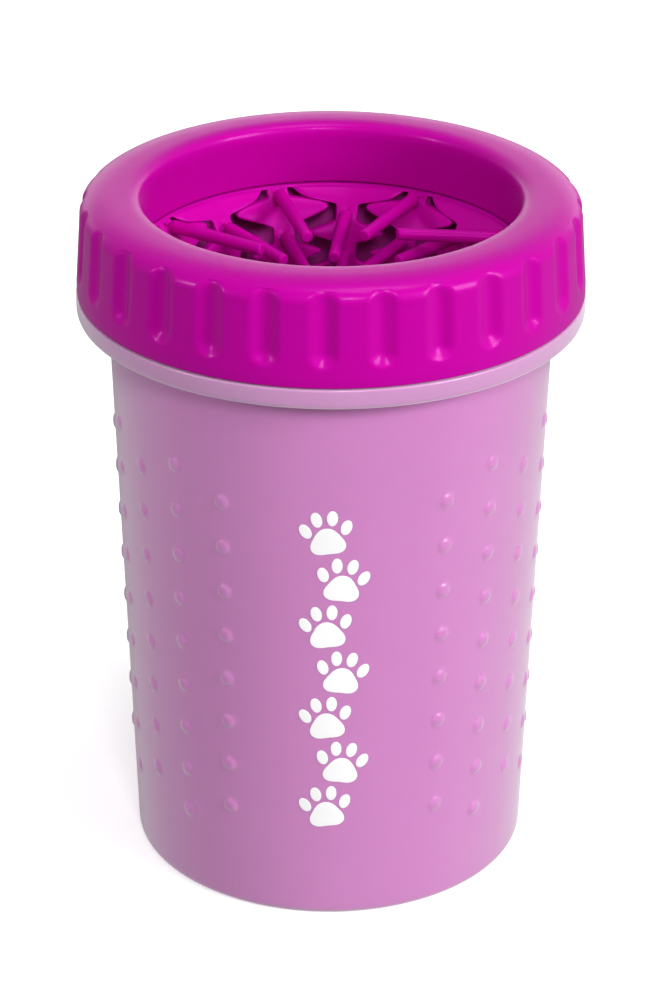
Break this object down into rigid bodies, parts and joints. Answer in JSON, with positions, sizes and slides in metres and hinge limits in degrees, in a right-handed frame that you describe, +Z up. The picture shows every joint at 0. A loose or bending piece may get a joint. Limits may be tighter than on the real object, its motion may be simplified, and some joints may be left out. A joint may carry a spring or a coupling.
{
  "type": "paw washer cup",
  "caption": "Tapered tumbler with rows of low studs and a fluted screw-on ring lid, whose open throat holds a soft insert of inward bristles that scrub a paw.",
  "frame": {"origin": "centre of the tumbler's base, on the surface that it stands on", "axes": "+Z up along the cup's axis, the printed front faces -Y, +X to the right seen from the front"},
  "size_m": [0.1072, 0.1072, 0.1507],
  "materials": {
    "tumbler_plastic": "translucent frosted moulded plastic",
    "lid_plastic": "plain moulded plastic",
    "grip_rubber": "soft-touch matte",
    "silicone": "satin silicone"
  },
  "bodies": {
    "tumbler": {"tumbler": "tumbler_plastic"},
    "insert": {"insert_collar": "silicone"},
    "lid": {"lid_core": "lid_plastic", "lid_cover": "grip_rubber"},
    "strip_a1": {"strip_a1": "silicone"},
    "strip_a2": {"strip_a2": "silicone"},
    "strip_a3": {"strip_a3": "silicone"},
    "strip_a4": {"strip_a4": "silicone"},
    "strip_a5": {"strip_a5": "silicone"},
    "strip_a6": {"strip_a6": "silicone"},
    "strip_a7": {"strip_a7": "silicone"},
    "strip_a8": {"strip_a8": "silicone"},
    "strip_b1": {"strip_b1": "silicone"},
    "strip_b2": {"strip_b2": "silicone"},
    "strip_b3": {"strip_b3": "silicone"},
    "strip_b4": {"strip_b4": "silicone"},
    "strip_b5": {"strip_b5": "silicone"},
    "strip_b6": {"strip_b6": "silicone"},
    "strip_b7": {"strip_b7": "silicone"},
    "strip_b8": {"strip_b8": "silicone"}
  },
  "joints": [
    {"name": "lid_lift", "type": "slide", "parent": "tumbler", "child": "insert", "axis": [0, 0, 1], "range_m": [0, 0.009]},
    {"name": "lid_turn", "type": "hinge", "parent": "insert", "child": "lid", "pos_m": [0, 0, 0.14], "axis": [0, 0, 1], "range_deg": [0, 200]},
    {"name": "strip_a1_flex", "type": "hinge", "parent": "insert", "child": "strip_a1", "pos_m": [0.03718, 0.01066, 0.1332], "axis": [0.2756, -0.9613, 0], "range_deg": [-3, 7], "stiffness_Nm_per_rad": 0.02, "springref_deg": -0.37},
    {"name": "strip_a2_flex", "type": "hinge", "parent": "insert", "child": "strip_a2", "pos_m": [0.01875, 0.03383, 0.1332], "axis": [0.8746, -0.4848, 0], "range_deg": [-3, 7], "stiffness_Nm_per_rad": 0.02, "springref_deg": -0.37},
    {"name": "strip_a3_flex", "type": "hinge", "parent": "insert", "child": "strip_a3", "pos_m": [-0.01066, 0.03718, 0.1332], "axis": [0.9613, 0.2756, 0], "range_deg": [-3, 7], "stiffness_Nm_per_rad": 0.02, "springref_deg": -0.37},
    {"name": "strip_a4_flex", "type": "hinge", "parent": "insert", "child": "strip_a4", "pos_m": [-0.03383, 0.01875, 0.1332], "axis": [0.4848, 0.8746, 0], "range_deg": [-3, 7], "stiffness_Nm_per_rad": 0.02, "springref_deg": -0.37},
    {"name": "strip_a5_flex", "type": "hinge", "parent": "insert", "child": "strip_a5", "pos_m": [-0.03718, -0.01066, 0.1332], "axis": [-0.2756, 0.9613, 0], "range_deg": [-3, 7], "stiffness_Nm_per_rad": 0.02, "springref_deg": -0.37},
    {"name": "strip_a6_flex", "type": "hinge", "parent": "insert", "child": "strip_a6", "pos_m": [-0.01875, -0.03383, 0.1332], "axis": [-0.8746, 0.4848, 0], "range_deg": [-3, 7], "stiffness_Nm_per_rad": 0.02, "springref_deg": -0.37},
    {"name": "strip_a7_flex", "type": "hinge", "parent": "insert", "child": "strip_a7", "pos_m": [0.01066, -0.03718, 0.1332], "axis": [-0.9613, -0.2756, 0], "range_deg": [-3, 7], "stiffness_Nm_per_rad": 0.02, "springref_deg": -0.37},
    {"name": "strip_a8_flex", "type": "hinge", "parent": "insert", "child": "strip_a8", "pos_m": [0.03383, -0.01875, 0.1332], "axis": [-0.4848, -0.8746, 0], "range_deg": [-3, 7], "stiffness_Nm_per_rad": 0.02, "springref_deg": -0.37},
    {"name": "strip_b1_flex", "type": "hinge", "parent": "insert", "child": "strip_b1", "pos_m": [0.0283, 0.02251, 0.1292], "axis": [0.6225, -0.7826, 0], "range_deg": [-3, 7], "stiffness_Nm_per_rad": 0.02, "springref_deg": -0.37},
    {"name": "strip_b2_flex", "type": "hinge", "parent": "insert", "child": "strip_b2", "pos_m": [0.00409, 0.03593, 0.1292], "axis": [0.9936, -0.1132, 0], "range_deg": [-3, 7], "stiffness_Nm_per_rad": 0.02, "springref_deg": -0.37},
    {"name": "strip_b3_flex", "type": "hinge", "parent": "insert", "child": "strip_b3", "pos_m": [-0.02251, 0.0283, 0.1292], "axis": [0.7826, 0.6225, 0], "range_deg": [-3, 7], "stiffness_Nm_per_rad": 0.02, "springref_deg": -0.37},
    {"name": "strip_b4_flex", "type": "hinge", "parent": "insert", "child": "strip_b4", "pos_m": [-0.03593, 0.00409, 0.1292], "axis": [0.1132, 0.9936, 0], "range_deg": [-3, 7], "stiffness_Nm_per_rad": 0.02, "springref_deg": -0.37},
    {"name": "strip_b5_flex", "type": "hinge", "parent": "insert", "child": "strip_b5", "pos_m": [-0.0283, -0.02251, 0.1292], "axis": [-0.6225, 0.7826, 0], "range_deg": [-3, 7], "stiffness_Nm_per_rad": 0.02, "springref_deg": -0.37},
    {"name": "strip_b6_flex", "type": "hinge", "parent": "insert", "child": "strip_b6", "pos_m": [-0.00409, -0.03593, 0.1292], "axis": [-0.9936, 0.1132, 0], "range_deg": [-3, 7], "stiffness_Nm_per_rad": 0.02, "springref_deg": -0.37},
    {"name": "strip_b7_flex", "type": "hinge", "parent": "insert", "child": "strip_b7", "pos_m": [0.02251, -0.0283, 0.1292], "axis": [-0.7826, -0.6225, 0], "range_deg": [-3, 7], "stiffness_Nm_per_rad": 0.02, "springref_deg": -0.37},
    {"name": "strip_b8_flex", "type": "hinge", "parent": "insert", "child": "strip_b8", "pos_m": [0.03593, -0.00409, 0.1292], "axis": [-0.1132, -0.9936, 0], "range_deg": [-3, 7], "stiffness_Nm_per_rad": 0.02, "springref_deg": -0.37}
  ],
  "couplings": [
    {"joint": "lid_lift", "follows": "lid_turn", "m_per_rad": 0.0025465}
  ]
}
